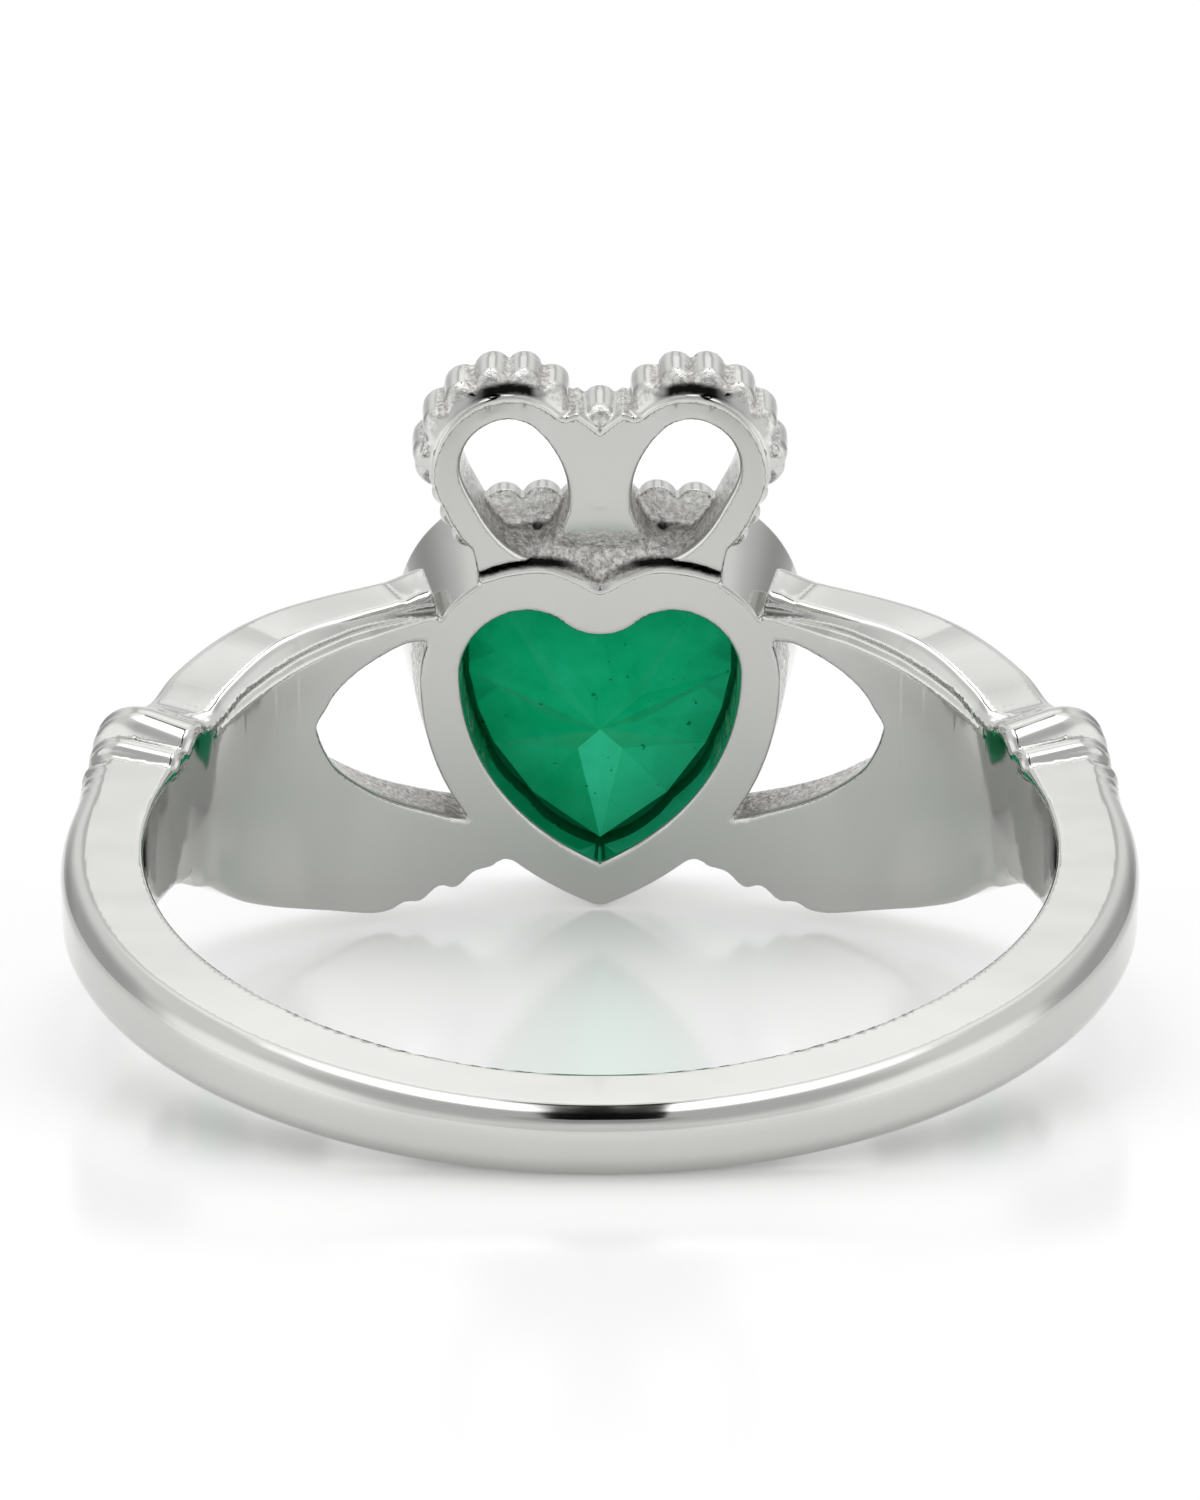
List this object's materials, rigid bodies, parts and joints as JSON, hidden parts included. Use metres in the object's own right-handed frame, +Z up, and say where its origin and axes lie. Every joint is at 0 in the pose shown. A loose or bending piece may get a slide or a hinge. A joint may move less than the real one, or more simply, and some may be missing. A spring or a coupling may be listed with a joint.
{
  "type": "claddagh ring",
  "caption": "Polished silver finger ring whose two hands hold a bezel-set green heart stone under a pierced, beaded crown.",
  "frame": {"origin": "On the surface that the ring lies on, under the centre of its bounding box", "axes": "+Z up. +Y from the back of the band towards the heart. +X along the ring's width, and the ring is mirrored about the plane X = 0. The finger's axis leans 15 degrees back from +Z, because the ring rests on the heart's tip and the back of the band."},
  "size_m": [0.0204, 0.0226, 0.0122],
  "materials": {
    "silver": "polished cast sterling silver",
    "stone": "faceted emerald-green stone"
  },
  "bodies": {
    "root": {"ring_body": "silver", "heart_stone": "stone"}
  },
  "joints": []
}
